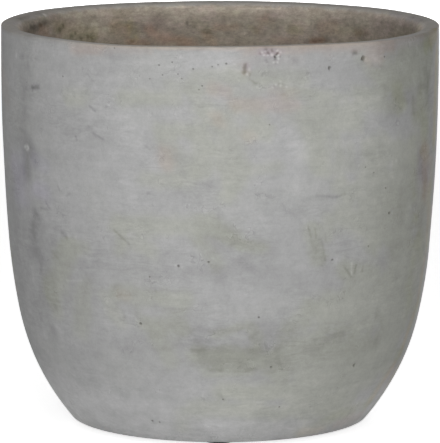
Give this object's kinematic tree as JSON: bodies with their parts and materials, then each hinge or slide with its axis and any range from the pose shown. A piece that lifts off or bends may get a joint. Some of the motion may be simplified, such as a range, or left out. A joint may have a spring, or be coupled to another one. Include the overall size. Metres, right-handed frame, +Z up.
{
  "type": "flower pot",
  "caption": "Round grey fibre-cement floor pot with nearly upright sides, a rounded heel, a rim rounded inward, a lift-out rubber drain plug and rubber foot pads.",
  "frame": {"origin": "on the pot's axis, at the height of the floor that the foot pads stand on", "axes": "+Z up along the pot's axis, -Y towards the front seen in the picture, +X to the right"},
  "size_m": [0.4, 0.4, 0.365],
  "materials": {
    "cement": "cast fibre-cement, brushed, sealed inside, with air pits and soft blotches",
    "plug_rubber": "moulded rubber, satin",
    "pad_rubber": "black rubber, matt"
  },
  "bodies": {
    "pot": {"pot_shell": "cement", "foot_pad_front": "pad_rubber", "foot_pad_right": "pad_rubber", "foot_pad_back": "pad_rubber", "foot_pad_left": "pad_rubber"},
    "plug": {"drain_plug": "plug_rubber"}
  },
  "joints": [
    {"name": "plug_lift", "type": "slide", "parent": "pot", "child": "plug", "axis": [0, 0, 1], "range_m": [0, 0.4]}
  ]
}
